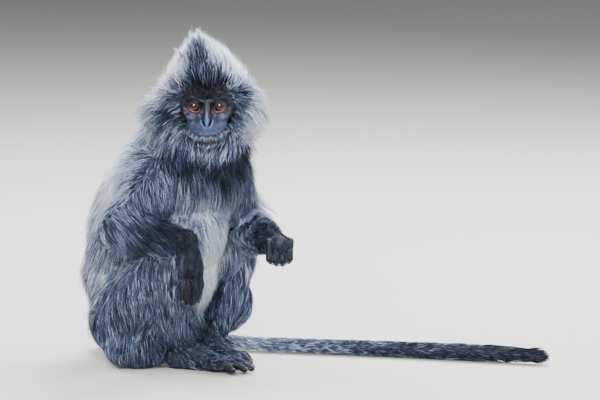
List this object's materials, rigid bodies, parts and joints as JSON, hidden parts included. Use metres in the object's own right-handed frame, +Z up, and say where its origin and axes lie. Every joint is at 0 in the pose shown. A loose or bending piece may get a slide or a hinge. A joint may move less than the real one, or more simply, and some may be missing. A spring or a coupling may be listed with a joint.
{
  "type": "silvered langur, life-size still model",
  "caption": "Life-size still model of an adult silvered langur seated on its rump, forearms on its knees, tail laid along the floor.",
  "frame": {"origin": "on the floor under the rump, on the flat that the seat rests on", "axes": "+Z up; +X the way the tail runs along the floor; -Y the way the face looks"},
  "size_m": [0.6517, 0.3699, 0.4799],
  "materials": {
    "silver_coat": "long grizzled hair, dark at the root and silver at the tip",
    "dark_coat": "dark grey hair with silver tips",
    "belly_coat": "short pale grey hair",
    "black_hide": "black skin under short black hair",
    "face_skin": "bare blue-grey skin",
    "eye": "wet red-brown iris"
  },
  "bodies": {
    "root": {"rump": "silver_coat", "chest": "silver_coat", "neck": "silver_coat", "ruff_left": "silver_coat", "ruff_right": "silver_coat", "thigh_left": "silver_coat", "thigh_right": "silver_coat", "upper_arm_left": "silver_coat", "upper_arm_right": "silver_coat", "tail_1": "silver_coat", "tail_2": "silver_coat", "tail_3": "silver_coat", "tail_4": "silver_coat", "head": "dark_coat", "crest": "dark_coat", "shin_left": "dark_coat", "shin_right": "dark_coat", "forearm_left": "dark_coat", "forearm_right": "dark_coat", "tail_5": "dark_coat", "tail_6": "dark_coat", "belly": "belly_coat", "hand_left": "black_hide", "hand_right": "black_hide", "foot_left": "black_hide", "foot_right": "black_hide", "ear_left": "black_hide", "ear_right": "black_hide", "face": "face_skin", "eye_left": "eye", "eye_right": "eye"}
  },
  "joints": []
}
